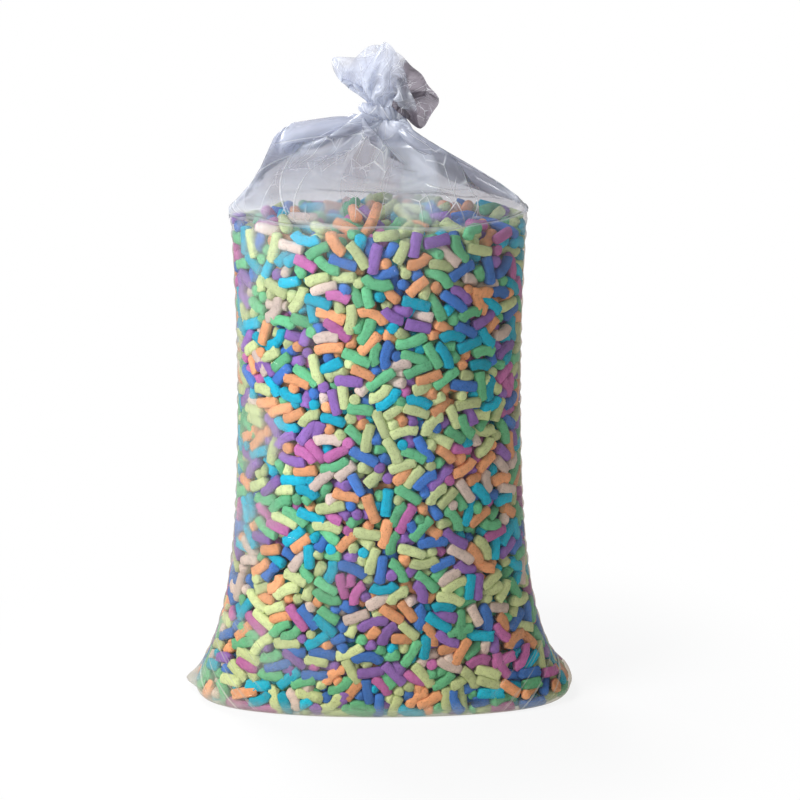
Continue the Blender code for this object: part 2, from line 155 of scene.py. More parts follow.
# The mouth beyond the knot
TAIL_GIRTH = 0.46
TAIL_SLACK = 1.02
MOUTH_LIFT = 0.012
MOUTH_SPREAD = (1.7, 1.2, 1)
MOUTH_WAVE = 0.003
LOBE_MIDDLE = 11.8  # the corner of the mouth's rim in the middle of its smoky right lobe
LOBE_EDGE = (1.7, 2.5)
TAIL_CRINKLE = 3.2

# The film's looks. Colours come in pairs: low on the bag, with warm room light painted in, and above the
# shoulder
CLEAR_AND_WARM_LIGHT_TINTS = ((0.96, 0.93, 0.88, 1), (0.96, 0.96, 0.965, 1))
# The smoke tints also darken the film's edges at grazing angles, a painted dark reflection
SMOKE_AND_EDGE_REFLECTION_TINTS = ((0.52, 0.44, 0.38, 1), (0.30, 0.27, 0.32, 1))
MILK_AND_WARM_LIGHT_COLOURS = ((0.74, 0.75, 0.66, 1), (0.80, 0.84, 0.94, 1))
# White of the creases: partly the film's crease whitening, partly painted highlights along them
CREASE_WHITE_AND_HIGHLIGHT = (0.97, 0.98, 1.0, 1)
SMOKY_FILM = (0.29, 0.255, 0.295, 1)
CREASE_PATTERNS = ((52, 0.030, 0.30), (34, 0.024, 0.50), (26, 0.018, 0.16))  # scale, width, length
PANE_SCALE = 26
PANE_SLOPE = 420

# The stage
FLOOR_RADIUS = 6
FLOOR_HEIGHT = -0.0005
LAMPS = (
    ("key_softbox", (-1.8, -1.3, 1.7), 1.0, 72),
    ("fill_softbox", (1.2, -2.3, 0.8), 1.3, 8),
    ("rim_softbox", (-0.9, 1.6, 1.8), 0.9, 42),
)
LAMP_AIM = (0, 0, 0.35)
CAMERA_AIM = (0.025, 0, 0.3625)
CAMERA_TILT = math.radians(15)
CAMERA_AWAY = 3.0
CAMERA_FRAME = 0.96  # width of what the camera shows at its aim
SENSOR_WIDTH = 36


def ellipse_girth(half_width, half_depth):
    total = half_width + half_depth
    flatness = ((half_width - half_depth) / total) ** 2
    return math.pi * total * (1 + 3 * flatness / (10 + math.sqrt(4 - 3 * flatness)))


def half_depth_of_tube(half_width):
    """Half the depth of an oval of that half-width that has the tube's girth."""
    low, high = 0.0, GIRTH / 2
    for _ in range(40):
        middle = (low + high) / 2
        if ellipse_girth(half_width, middle) < GIRTH:
            low = middle
        else:
            high = middle
    return high


WAIST_HALF_DEPTH = half_depth_of_tube(WAIST_HALF_WIDTH)
SHOULDER_HALF_DEPTH = half_depth_of_tube(WAIST_HALF_WIDTH + SHOULDER_REACH)


def bag_section(height):
    """Half-width, half-depth and pointedness of the filled bag at an array of heights."""
    height = np.asarray(height, float)
    above = np.maximum(height, EAR_HEIGHT)
    fade = np.exp(-(above - EAR_HEIGHT) / FLARE_HEIGHT)
    swell = np.clip((above - WAIST_HEIGHT) / (SHOULDER_HEIGHT - WAIST_HEIGHT), 0, 1) ** 2
    half_width = WAIST_HALF_WIDTH + EAR_REACH * fade + SHOULDER_REACH * swell
    half_depth = WAIST_HALF_DEPTH - EAR_TUCK * fade - (WAIST_HALF_DEPTH - SHOULDER_HALF_DEPTH) * swell
    under = np.clip(1 - height / EAR_HEIGHT, 0, 1)
    tucked = np.where(height < EAR_HEIGHT, 1 - np.sqrt(1 - under**2), 0)
    pointed = 1 + CORNER_POINT * fade + SHOULDER_POINT * swell
    return half_width - FOOT_INSET_X * tucked, half_depth - FOOT_INSET_Y * tucked, pointed


# The bag's inside, and the peanuts settled in it


def right_bulge(x, height):
    """How much further the bag's lower right corner reaches than its left one."""
    level = (height - RIGHT_BULGE_HEIGHT) / RIGHT_BULGE_SPREAD
    return np.where(x > 0, RIGHT_BULGE * np.exp(-(level**2)), 0)


def keep_in_bag(points, inset):
    """Points moved in until they keep that far from the film, the floor and the heap's domed top."""
    x, y, z = points.T
    z = np.maximum(z, FLOOR_CLEARANCE + inset)
    half_width, half_depth, pointed = bag_section(np.where(z < 0.1, z - 0.6 * inset, z))
    half_width = np.maximum(half_width + right_bulge(x, z) - inset, 0.01)
    half_depth = np.maximum(half_depth - inset, 0.01)
    out = np.sqrt((x / half_width) ** 2 + (np.abs(y) / half_depth) ** (2 / pointed))
    pull = np.where(out > 1, 1 / np.maximum(out, 1e-9), 1)
    x, y = x * pull, y * pull**pointed
    half_width, half_depth, pointed = bag_section(SHOULDER_HEIGHT - RIM_DROP)
    share = (x / half_width) ** 2 + (np.abs(y) / half_depth) ** (2 / pointed)
    top = SHOULDER_HEIGHT - RIM_DROP + DOME_RISE * (1 - np.clip(share, 0, 1)) - inset
    return np.stack((x, y, np.minimum(z, top)), 1)


def near_pairs(points, owner, reach):
    """Pairs of discs of different peanuts that are closer than reach."""
    cells = np.floor((points + 1) / reach).astype(np.int64)
    code = (cells[:, 0] * 4096 + cells[:, 1]) * 4096 + cells[:, 2]
    order = np.argsort(code, kind="stable")
    ranked = code[order]
    firsts, seconds = [], []
    near = (-1, 0, 1)
    for a, b, c in [(a, b, c) for a in (0, 1) for b in near for c in near if (a, b, c) >= (0, 0, 0)]:
        shift = (a * 4096 + b) * 4096 + c
        low = np.searchsorted(ranked, code + shift, "left")
        count = np.searchsorted(ranked, code + shift, "right") - low
        total = int(count.sum())
        first = np.repeat(np.arange(len(points)), count)
        within = np.arange(total) - np.repeat(np.cumsum(count) - count, count)
        second = order[np.repeat(low, count) + within]
        keep = owner[first] != owner[second]
        if shift == 0:
            keep &= first < second
        firsts.append(first[keep])
        seconds.append(second[keep])
    first, second = np.concatenate(firsts), np.concatenate(seconds)
    close = ((points[first] - points[second]) ** 2).sum(1) < (reach + NEIGHBOUR_MARGIN) ** 2
    return first[close], second[close]


def settle_peanuts():
    """Three points down the middle of each peanut, its length and its bend, packed inside the bag."""
    rng = np.random.default_rng(PEANUT_SEED)
    count = PEANUT_COUNT
    length = PEANUT_LENGTH + rng.uniform(-PEANUT_LENGTH_SPREAD, PEANUT_LENGTH_SPREAD, count)
    curled = rng.random(count) < CURLED_SHARE
    bend = np.where(curled, rng.uniform(*CURLED_BEND, count), rng.uniform(*STRAIGHT_BEND, count))
    half = length / 2 - PEANUT_RADIUS * 0.75
    sag = length * bend / 8
    middle = np.empty((0, 3))
    while len(middle) < count:
        trial = rng.uniform(*PACKING_BOX, (count * 3, 3))
        held = np.linalg.norm(keep_in_bag(trial, PEANUT_RADIUS) - trial, axis=1) < 1e-9
        middle = np.vstack((middle, trial[held]))
    middle = middle[:count]
    along = rng.normal(size=(count, 3)) * (1, 1, LYING)
    along /= np.linalg.norm(along, axis=1)[:, None]
    outward = middle / np.array((WAIST_HALF_WIDTH, WAIST_HALF_DEPTH, 1)) ** 2 * (1, 1, 0)
    outward /= np.linalg.norm(outward, axis=1)[:, None]
    outer = np.linalg.norm(middle[:, :2] / (WAIST_HALF_WIDTH, WAIST_HALF_DEPTH), axis=1) > WALL_SHARE
    along -= outward * (0.9 * outer * (along * outward).sum(1))[:, None]
    along /= np.linalg.norm(along, axis=1)[:, None]
    aside = np.cross(along, rng.normal(size=(count, 3)))
    aside /= np.linalg.norm(aside, axis=1)[:, None]
    reach = along * half[:, None]
    lift = aside * sag[:, None]
    discs = np.stack((middle - reach + lift, middle, middle + reach + lift), 1)
    arm = np.sqrt(half**2 + sag**2)
    span = 2 * half
    owner = np.repeat(np.arange(count), 3)
    thick = 2 * PEANUT_RADIUS
    for step in range(SETTLING_STEPS):
        points = discs.reshape(-1, 3)
        if step % 4 == 0:
            first, second = near_pairs(points, owner, thick)
        apart = points[first] - points[second]
        distance = np.sqrt((apart**2).sum(1)) + 1e-9
        overlap = np.clip(thick - distance, 0, None)
        push = apart * (overlap / distance / 2)[:, None]
        touching = overlap > 0
        hits = np.bincount(first[touching], minlength=len(points))
        hits += np.bincount(second[touching], minlength=len(points))
        move = np.empty_like(points)
        for axis in range(3):
            move[:, axis] = np.bincount(first, push[:, axis], len(points))
            move[:, axis] -= np.bincount(second, push[:, axis], len(points))
        points = points + move * (0.9 / np.sqrt(np.maximum(hits, 1)))[:, None]
        drift = SETTLING_DRIFT * max(0.0, 1 - step / (SETTLING_STEPS * 0.8))
        spread = points[:, :2] / (WAIST_HALF_WIDTH, WAIST_HALF_DEPTH)
        points[:, :2] += drift * spread
        points[:, 2] -= drift * 0.6
        discs = keep_in_bag(points, PEANUT_RADIUS * PRESSED).reshape(-1, 3, 3)
        for _ in range(2):
            for a, b, want in ((0, 1, arm), (1, 2, arm), (0, 2, span)):
                reach = discs[:, b] - discs[:, a]
                far = np.sqrt((reach**2).sum(1)) + 1e-9
                mend = reach * ((far - want) / far / 2)[:, None]
                discs[:, a] += mend
                discs[:, b] -= mend
    return discs, length, bend


def start_piece():
    """Nothing selected, so that an operator acts only on the new primitive."""
    if bpy.context.object and bpy.context.object.mode != "OBJECT":
        bpy.ops.object.mode_set(mode="OBJECT")
    bpy.ops.object.select_all(action="DESELECT")


def model_peanut(cut):
    """One straight peanut along X, 1 long and 1 in radius, with ends that dome and narrow as said."""
    start_piece()
    bpy.ops.mesh.primitive_cylinder_add(
        vertices=PEANUT_SIDES, radius=1, depth=1, end_fill_type="NGON", rotation=(0, math.pi / 2, 0)
    )
    form = bpy.context.object
    bpy.ops.object.transform_apply(location=False, rotation=True, scale=True)
    bpy.ops.object.mode_set(mode="EDIT")
    for place in (-0.2, 0.2):
        bpy.ops.mesh.select_all(action="SELECT")
        bpy.ops.mesh.bisect(plane_co=(place, 0, 0), plane_no=(1, 0, 0))
    bpy.ops.object.mode_set(mode="OBJECT")
    mesh = form.data
    places = np.empty(len(mesh.vertices) * 3)
    mesh.vertices.foreach_get("co", places)
    places = places.reshape(-1, 3)
    faces = [tuple(face.vertices) for face in mesh.polygons]
    sides = [face for face in faces if len(face) == 4]
    caps = [face for face in faces if len(face) > 4]
    points = [tuple(place) for place in places]
    made = list(sides)
    for cap in caps:
        way = math.copysign(1, places[cap[0]][0])
        rim = []
        for corner in cap:
            x, y, z = places[corner]
            points.append((way * (0.5 + cut["dome"]), y * cut["mouth"], z * cut["mouth"]))
            rim.append(len(points) - 1)
        for i, corner in enumerate(cap):
            j = (i + 1) % len(cap)
            made.append((corner, cap[j], rim[j], rim[i]))
        made.append(tuple(rim))
    bpy.data.objects.remove(form)
    return np.array(points), made


def peanut_meshes():
    """All the peanuts, one piece for each colour."""
    discs, length, bend = settle_peanuts()
    rng = np.random.default_rng(PEANUT_SEED + 1)
    forms = [model_peanut(cut) for cut in PEANUT_ENDS]
    form_of = rng.integers(0, len(forms), len(discs))
    names = list(PEANUT_COLOURS)
    shares = np.array([share for _, share in PEANUT_COLOURS.values()])
    colour_of = rng.choice(len(names), len(discs), p=shares / shares.sum())
    along = discs[:, 2] - discs[:, 0]
    along /= np.linalg.norm(along, axis=1)[:, None]
    aside = (discs[:, 0] + discs[:, 2]) / 2 - discs[:, 1]
    aside -= along * (aside * along).sum(1)[:, None]
    aside /= np.linalg.norm(aside, axis=1)[:, None] + 1e-12
    up = np.cross(along, aside)
    girth = PEANUT_RADIUS * rng.uniform(*PEANUT_GIRTHS, len(discs))
    tone = rng.uniform(0, 1, len(discs))
    middle = discs[:, 1]
    pieces = []
    for number, name in enumerate(names):
        all_points, all_faces, tones_with_top_light = [], [], []
        start = 0
        for kind, (points, faces) in enumerate(forms):
            chosen = np.flatnonzero((colour_of == number) & (form_of == kind))
            if not len(chosen):
                continue
            turn = bend[chosen, None] * points[None, :, 0]
            radius = length[chosen, None] * PEANUT_BODY / bend[chosen, None]
            swell = 1 + PEANUT_WAVE * np.sin(points[None, :, 0] * 5 + tone[chosen, None] * 20)
            side = points[None, :, 1] * girth[chosen, None] * swell
            rise = points[None, :, 2] * girth[chosen, None] * swell
            across = radius * np.sin(turn) - side * np.sin(turn)
            lift = radius * (1 - np.cos(turn)) + side * np.cos(turn)
            place = middle[chosen, None] + across[..., None] * along[chosen, None]
            place = place + lift[..., None] * aside[chosen, None] + rise[..., None] * up[chosen, None]
            all_points.append(keep_in_bag(place.reshape(-1, 3), FILM_CLEARANCE))
            for copy in range(len(chosen)):
                base = start + copy * len(points)
                all_faces += [tuple(base + corner for corner in face) for face in faces]
            # Peanuts high in the heap get painted light: their tone is raised above their own random tone
            painted_top_light = smooth_step(middle[chosen, 2], SHOULDER_HEIGHT - 0.022, SHOULDER_HEIGHT + 0.004)
            tones_with_top_light.append(np.repeat(tone[chosen] + painted_top_light, len(points)))
            start += len(chosen) * len(points)
        mesh = bpy.data.meshes.new(name)
        mesh.from_pydata(np.concatenate(all_points).tolist(), [], all_faces)
        shade = mesh.attributes.new("tone", "FLOAT", "POINT")
        shade.data.foreach_set("value", np.concatenate(tones_with_top_light))
        mesh.shade_smooth()
        piece = bpy.data.objects.new(f"{name}_pieces", mesh)
        bpy.context.scene.collection.objects.link(piece)
        mesh.materials.append(peanut_material(name, PEANUT_COLOURS[name][0]))
        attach(piece, "root")
        pieces.append(piece)
    return pieces


# The film


def body_rings():
    """Rings of the film from the middle of its bottom up to the shoulder crease."""
    heights = [0.0] * BOTTOM_ROWS
    insets = [(i + 1) / (BOTTOM_ROWS + 1) for i in range(BOTTOM_ROWS)]
    for share in np.linspace(0, 1, FOOT_ROWS):
        heights.append(EAR_HEIGHT * (1 - math.cos(share * math.pi / 2)))
    rows = round((SHOULDER_HEIGHT - EAR_HEIGHT) / BODY_ROW)
    for i in range(1, rows + 1):
        heights.append(EAR_HEIGHT + (SHOULDER_HEIGHT - EAR_HEIGHT) * i / rows)
    insets += [1.0] * (len(heights) - BOTTOM_ROWS)
    return np.array(heights), np.array(insets)


def ring_angles(count):
    """Angles round the tube, from the middle of its back."""
    return math.pi / 2 + 2 * math.pi * np.arange(count) / count


def section_points(height, angle, scale=1.0):
    """Points of the filled bag's wall, with the two ears, drawn in by a scale for its bottom."""
    half_width, half_depth, pointed = bag_section(height)
    across = np.sin(angle)
    half_width = half_width + right_bulge(np.cos(angle), height)
    x = half_width * np.cos(angle) * scale
    y = half_depth * np.sign(across) * np.abs(across) ** pointed * scale
    for side, place, tip, tall in EARS:
        level = np.clip(1 - np.abs(height - place) / tall, 0, 1)
        near = np.clip(1 - np.abs(across) / EAR_SPREAD, 0, 1) * (np.cos(angle) * side > 0)
        x = x + side * tip * level * near
    return np.stack((x, y, np.broadcast_to(height, x.shape)), -1)


def neck_ring(angle, height, share=0.0):
    """A tight star of folds round the neck."""
    wave = np.abs(((angle + 0.3 * share) * NECK_FOLDS / math.pi) % 2 - 1) * 2 - 1
    out = NECK_RADIUS + NECK_FOLD_DEPTH * wave
    level = np.full_like(angle, height)
    return np.stack((NECK_X + out * np.cos(angle), out * np.sin(angle) * 0.85, level), -1)


def relax_film(points, wide, tall, steps, contain):
    """Folds a grid of film, closed round its columns, until its threads have their own length again."""

    def pull(first, second, rest, hold):
        gap = second - first
        far = np.sqrt((gap**2).sum(-1)) + 1e-9
        return gap * ((far - rest) / far * 0.5 * hold)[..., None]

    first_row, last_row = points[0].copy(), points[-1].copy()
    slope = np.sqrt(((wide[:-1] + wide[1:]) / 2) ** 2 + tall**2)
    for _ in range(steps):
        move = np.zeros_like(points)
        for hop, hold in ((1, 1.0), (2, 0.16), (3, 0.07)):
            mend = pull(points, np.roll(points, -hop, 1), hop * wide, hold)
            move += mend - np.roll(mend, hop, 1)
        for hop, hold in ((1, 1.0), (2, 0.30)):
            mend = pull(points[:-hop], points[hop:], hop * tall, hold)
            move[:-hop] += mend
            move[hop:] -= mend
        for way in (-1, 1):
            mend = pull(points[:-1], np.roll(points, way, 1)[1:], slope, 0.45)
            move[:-1] += mend
            move[1:] -= np.roll(mend, -way, 1)
        points = contain(points + move * 0.30)
        points[0], points[-1] = first_row, last_row
    return points


def finer(points):
    """The same grid with a new row and column between each two."""
    points = np.stack((points, (points + np.roll(points, -1, 1)) / 2), 2)
    points = points.reshape(points.shape[0], -1, 3)
    between = (points[:-1] + points[1:]) / 2
    fine = np.empty((2 * len(points) - 1, points.shape[1], 3))
    fine[::2], fine[1::2] = points, between
    return fine


# Height of the gathered film, and how far it reaches to the left, to the right and forwards there
GATHER_REACH = np.array(
    (
        (0.595, -0.176, 0.176, 0.124),
        (0.601, -0.166, 0.168, 0.123),
        (0.620, -0.148, 0.143, 0.118),
        (0.639, -0.137, 0.113, 0.108),
        (0.658, -0.129, 0.082, 0.092),
        (0.677, -0.121, 0.052, 0.070),
        (0.686, -0.112, 0.040, 0.058),
        (0.696, -0.096, 0.036, 0.042),
        (0.702, -0.052, 0.032, 0.032),
        (0.712, -0.028, 0.030, 0.024),
    )
)


def over_heap(points):
    """Film points lifted off the heap's domed top and kept in reach of the gathers."""
    deep = np.interp(points[..., 2], GATHER_REACH[:, 0], GATHER_REACH[:, 3])
    points[..., 1] = np.clip(points[..., 1], -deep, deep)
    x, y, z = points[..., 0], points[..., 1], points[..., 2]
    level = z + GATHER_LEAN * y
    low = np.interp(level, GATHER_REACH[:, 0], GATHER_REACH[:, 1])
    high = np.interp(level, GATHER_REACH[:, 0], GATHER_REACH[:, 2])
    nearer = 1 + y / 3
    x = points[..., 0] = np.clip(x * (1 + AIR_PUSH), low * nearer, high * nearer)
    half_width, half_depth, pointed = bag_section(SHOULDER_HEIGHT - RIM_DROP)
    share = (x / half_width) ** 2 + (np.abs(y) / half_depth) ** (2 / pointed)
    z = z - SAG_STEP
    dome = SHOULDER_HEIGHT - RIM_DROP + DOME_RISE * (1 - np.clip(share, 0, 1)) + 0.002
    points[..., 2] = np.where(share < 1, np.maximum(z, dome), z)
    return points


def finer_lengths(length):
    """The lengths of twice as many columns."""
    return np.stack((length, (length + np.roll(length, -1)) / 2), 1).ravel()


def gathered_film():
    """Rows of the film from the shoulder crease to the knot, in large folds first and then in small."""
    rng = np.random.default_rng(FOLD_SEED)
    columns, rows = COLUMNS // 4, GATHER_ROWS // 4
    angle = ring_angles(columns)
    share = np.linspace(0, 1, rows + 1)[:, None]
    out = (1 - share) ** 1.1
    low = section_points(np.full(columns, SHOULDER_HEIGHT), angle)
    end = NECK_HEIGHT - GATHER_END
    top = neck_ring(angle, end)
    left = (1 - np.cos(angle)) / 2
    points = top + (low - top) * out[..., None]
    points[..., 2] = SHOULDER_HEIGHT + (end - SHOULDER_HEIGHT) * (1 - out ** (0.95 + 1.3 * left**2))
    wave = sum(size * np.sin(folds * angle + rng.uniform(0, 6.28)) for folds, size in FOLD_WAVES)
    swing = sum(np.sin(folds * angle + rng.uniform(0, 6.28)) for folds in SWING_WAVES)
    bulge = 4 * out * (1 - out)
    outward = np.stack((np.cos(angle), np.sin(angle), np.full_like(angle, 0.8)), -1)
    points = points + outward * (FOLD_HEIGHT * bulge * (wave + 0.5 * swing * np.sin(share * 7)))[..., None]
    points[1:-1] += rng.normal(scale=FIRST_FOLDS, size=points[1:-1].shape)
    length = GATHER_LENGTH_RIGHT + (GATHER_LENGTH_LEFT - GATHER_LENGTH_RIGHT) * left**3
    neck_girth = np.linalg.norm(np.roll(top, -1, 0) - top, axis=1).sum()
    for level, steps in enumerate(FOLDING_STEPS):
        if level:
            points = finer(points)
            length = finer_lengths(length)
            fine = ring_angles(points.shape[1])
            points[0] = section_points(np.full(len(fine), SHOULDER_HEIGHT), fine)
            points[1:-1] += rng.normal(scale=FINE_FOLDS, size=points[1:-1].shape)
        count, around = points.shape[:2]
        fade = np.clip((np.linspace(0, 1, count) - 0.84) / 0.16, 0, 1)[:, None]
        wide = (GIRTH + (neck_girth - GIRTH) * fade) / around
        points = relax_film(points, wide, length / (count - 1), steps, over_heap)
    return points[1:]


# Corners of the mouth's rim, measured from the knot's middle
MOUTH_RIM = np.array(
    (
        (0.061, 0.004, 0.006),
        (0.046, -0.006, -0.018),
        (0.034, -0.014, 0.018),
        (0.025, -0.020, 0.050),
        (0.006, -0.020, 0.084),
        (-0.014, -0.016, 0.066),
        (-0.054, -0.006, 0.064),
        (-0.042, 0.004, 0.050),
        (-0.016, 0.012, 0.074),
        (0.008, 0.014, 0.072),
        (0.030, 0.014, 0.054),
        (0.053, 0.012, 0.034),
    )
)


def mouth_points(angle):
    """Points of the mouth's rim beyond the knot, for angles round it."""
    count = len(MOUTH_RIM)
    place = (-angle / (2 * math.pi) % 1) * count
    start = np.floor(place).astype(int) % count
    part = (place - np.floor(place))[:, None]
    before, first, last, after = (MOUTH_RIM[(start + k) % count] for k in (-1, 0, 1, 2))
    value = first * (1 + 2 * part) * (1 - part) ** 2 + last * (3 - 2 * part) * part**2
    value += (last - before) / 2 * part * (1 - part) ** 2 - (after - first) / 2 * part**2 * (1 - part)
    return value + np.array(KNOT_MIDDLE)


def tail_film():
    """Rows of the film through the knot and out to its crumpled mouth."""
    rng = np.random.default_rng(FOLD_SEED + 1)
    angle = ring_angles(COLUMNS)
    low = NECK_HEIGHT - GATHER_END
    through = [neck_ring(angle, low + 0.016 * share, share) for share in (0.25, 0.5, 0.75)]
    columns, rows = COLUMNS // 4, TAIL_ROWS // 4
    angle = ring_angles(columns)
    neck = neck_ring(angle, NECK_HEIGHT + 0.012, 1.0)
    middle = np.array((NECK_X, 0, 0))
    over = middle + (neck - middle) * MOUTH_SPREAD + (0, 0, MOUTH_LIFT)
    rim = mouth_points(angle)
    wave = np.sin(6 * angle + 1) + 0.6 * np.sin(11 * angle)
    rim = rim + np.stack((np.cos(angle), 2 * np.sin(angle), 0 * angle), -1) * (MOUTH_WAVE * wave)[:, None]
    points = []
    for share in np.linspace(0, 1, rows + 1):
        first, second = neck + (over - neck) * share, over + (rim - over) * share
        points.append(first + (second - first) * share)
    points = np.array(points)
    points[1:-1] += rng.normal(scale=TAIL_FOLDS, size=points[1:-1].shape)
    neck_girth = np.linalg.norm(np.roll(neck, -1, 0) - neck, axis=1).sum()
    length = np.linalg.norm(np.diff(points, axis=0), axis=2).sum(0) * TAIL_SLACK
    rim_top = rim[:, 2].max() + 0.002

    def in_bundle(places):
        places[..., 2] = np.minimum(places[..., 2], rim_top)
        reach = 0.020 + 0.55 * (places[..., 2:] - NECK_HEIGHT)
        away = (places - middle) * (1, 1, 0)
        deep = np.abs(away[..., 1:2])
        return np.where(deep > reach * 0.8, places - away * (0, 1, 0) * (1 - reach * 0.8 / deep), places)

    for level, steps in enumerate(FOLDING_STEPS):
        if level:
            points = finer(points)
            length = finer_lengths(length)
            points[1:-1] += rng.normal(scale=FINE_FOLDS, size=points[1:-1].shape)
        count, around = points.shape[:2]
        spread = np.clip(np.linspace(0, 1, count) / 0.3, 0, 1)[:, None]
        wide = (neck_girth + (TAIL_GIRTH - neck_girth) * spread) / around
        points = relax_film(points, wide, length / (count - 1), steps, in_bundle)
    return np.concatenate((np.array(through), points))


def smooth_step(value, low, high):
    """0 below low, 1 above high, and a soft rise between."""
    share = np.clip((value - low) / (high - low), 0, 1)
    return share * share * (3 - 2 * share)


def paint_film(mesh, rows, tail_start):
    """Where the film is milky with crumpling, and where it is smoky and see-through."""
    x, y, z = rows.reshape(-1, 3).T
    spacing = np.linalg.norm(np.roll(rows, -1, 1) - rows, axis=2) + 1e-6
    round_about = (np.roll(rows, -1, 1) + np.roll(rows, 1, 1)) / 2
    up_down = rows.copy()
    up_down[1:-1] = (rows[:-2] + rows[2:]) / 2
    bent = np.linalg.norm(rows - round_about, axis=2) + np.linalg.norm(rows - up_down, axis=2)
    crease = smooth_step(bent / spacing, *CREASE_BEND).ravel() * (z > 0.05)
    from_neck = np.sqrt((x - NECK_X) ** 2 + y**2 + (z - NECK_HEIGHT) ** 2)
    tail = np.repeat(smooth_step(np.arange(len(rows)), tail_start - 1, tail_start + 5), COLUMNS)
    rng = np.random.default_rng(FOLD_SEED + 2)
    around = ring_angles(COLUMNS)
    corners = len(MOUTH_RIM)
    from_lobe = (-around / (2 * math.pi) * corners - LOBE_MIDDLE + corners / 2) % corners - corners / 2
    from_lobe = np.abs(from_lobe)
    right_lobe = tail * np.tile(1 - smooth_step(from_lobe, *LOBE_EDGE), len(rows)) * 0.8
    streaks = sum(np.sin(k * around + rng.uniform(0, 6.28)) / 4 for k in STREAK_WAVES)
    streaks = smooth_step(streaks, -0.5, 0.6)
    fan = 1 - smooth_step(from_neck / (0.05 + 0.20 * np.tile(streaks, len(rows))), 0.1, 1.0)
    beyond = np.repeat((np.arange(len(rows)) - tail_start) / (len(rows) - tail_start), COLUMNS)
    thin = smooth_step(beyond, 0.6, 1.0) * np.tile(0.35 + 0.65 * streaks, len(rows))
    milk = np.maximum(fan * (z > SHOULDER_HEIGHT), tail * 0.9) * (1 - 0.85 * right_lobe) * (1 - 0.8 * thin)
    gathered = smooth_step(z, SHOULDER_HEIGHT - 0.004, SHOULDER_HEIGHT + 0.03)
    smoke = np.maximum(gathered * 0.51, right_lobe)
    crease = crease * (1 - 0.75 * right_lobe) * np.where(z < SHOULDER_HEIGHT + 0.003, y < 0, 1)
    for name, value in (("milk", milk), ("smoke", smoke), ("crease", crease)):
        layer = mesh.attributes.new(name, "FLOAT", "POINT")
        layer.data.foreach_set("value", np.append(value, 0))
    along = np.linalg.norm(np.diff(rows, axis=0), axis=2).mean(1)
    along[tail_start:] *= TAIL_CRINKLE
    along = along.cumsum()
    along = np.repeat(np.append(0, along), COLUMNS)
    around = np.tile(around, len(rows))
    rest = np.stack((np.cos(around) * GIRTH / 6.28, np.sin(around) * GIRTH / 6.28, along), 1)
    layer = mesh.attributes.new("rest", "FLOAT_VECTOR", "POINT")
    layer.data.foreach_set("vector", np.append(rest.ravel(), (0, 0, 0)))


def film_piece():
    """The whole tube of film, from the middle of its bottom to its mouth's rim."""
    angle = ring_angles(COLUMNS)
    heights, insets = body_rings()
    body = np.array([section_points(np.full(COLUMNS, h), angle, s) for h, s in zip(heights, insets)])
    body[..., 2] += BOTTOM_LIFT
    edge = np.clip((np.abs(np.cos(angle)) - 0.93) / 0.07, 0, 1) * (heights[:, None] > 0.03)
    ripple = np.sin(6.28 * heights / 0.019 + 3 * np.sin(31 * heights)) * np.sin(47 * heights)
    body[..., 0] += SIDE_RIPPLE * np.sign(body[..., 0]) * edge * ripple[:, None]
    gather = gathered_film()
    tail = tail_film()
    rows = np.concatenate((body, gather, tail))
    near = np.clip(1 - np.abs(rows[..., 2] - SHOULDER_HEIGHT) / RIM_WAVE_REACH, 0, 1) ** 2
    wave = np.sin(3 * angle + 1) + 0.7 * np.sin(7 * angle) + 0.5 * np.sin(12 * angle)
    rows[..., 2] += RIM_WAVE * near * wave
    points = rows.reshape(-1, 3)
    count = len(rows)
    faces = []
    for row in range(count - 1):
        base = row * COLUMNS
        for i in range(COLUMNS):
            j = (i + 1) % COLUMNS
            faces.append((base + i, base + j, base + COLUMNS + j, base + COLUMNS + i))
    middle = len(points)
    points = np.vstack((points, ((0, 0, BOTTOM_LIFT),)))
    faces += [(middle, (i + 1) % COLUMNS, i) for i in range(COLUMNS)]
    mesh = bpy.data.meshes.new("bag_film_sheet")
    mesh.from_pydata(points.tolist(), [], faces)
    mesh.shade_smooth()
    paint_film(mesh, rows, len(body) + len(gather))
    piece = bpy.data.objects.new("bag_film_sheet", mesh)
    bpy.context.scene.collection.objects.link(piece)
    mesh.materials.append(film_material())
    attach(piece, "root")
    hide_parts("bag_film")
    return piece


def knot_piece():
    """The film's own turn round its neck, pleated across its way."""
    start_piece()
    bpy.ops.mesh.primitive_torus_add(
        location=(0, 0, 0),
        major_radius=KNOT_RADIUS,
        minor_radius=KNOT_THICKNESS,
        major_segments=144,
        minor_segments=20,
    )
    knot = bpy.context.object
    knot.name = "knot_turn"
    places = np.empty(len(knot.data.vertices) * 3)
    knot.data.vertices.foreach_get("co", places)
    x, y, z = places.reshape(-1, 3).T
    angle = np.arctan2(y, x)
    out = np.hypot(x, y) - KNOT_RADIUS
    turn = np.arctan2(z, out)
    pleat = 1 + 0.16 * np.sin(23 * angle + 2.5 * turn) + 0.12 * np.sin(9 * angle - turn + 1)
    loose = 1 + 0.25 * np.sin(2 * angle + 0.6)
    out, z = out * pleat * loose, z * pleat * (1.25 + 0.25 * np.sin(angle + 2))
    out = KNOT_RADIUS + out
    places = np.stack((out * np.cos(angle), out * np.sin(angle) * 0.9, z), 1)
    knot.data.vertices.foreach_set("co", places.ravel())
    knot.scale = (KNOT_WIDENING, 1, 1)
    knot.rotation_euler = (KNOT_LEAN, KNOT_TILT, 0)
    knot.location = KNOT_MIDDLE
    bpy.ops.object.transform_apply(location=True, rotation=True, scale=True)
    knot.data.shade_smooth()
    for name, value in (("milk", 0.9), ("smoke", 0.25), ("crease", 0.0)):
        layer = knot.data.attributes.new(name, "FLOAT", "POINT")
        layer.data.foreach_set("value", np.full(len(knot.data.vertices), value))
    layer = knot.data.attributes.new("rest", "FLOAT_VECTOR", "POINT")
    layer.data.foreach_set("vector", places.ravel())
    knot.data.materials.append(film_material())
    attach(knot, "root")
    return knot


# Materials


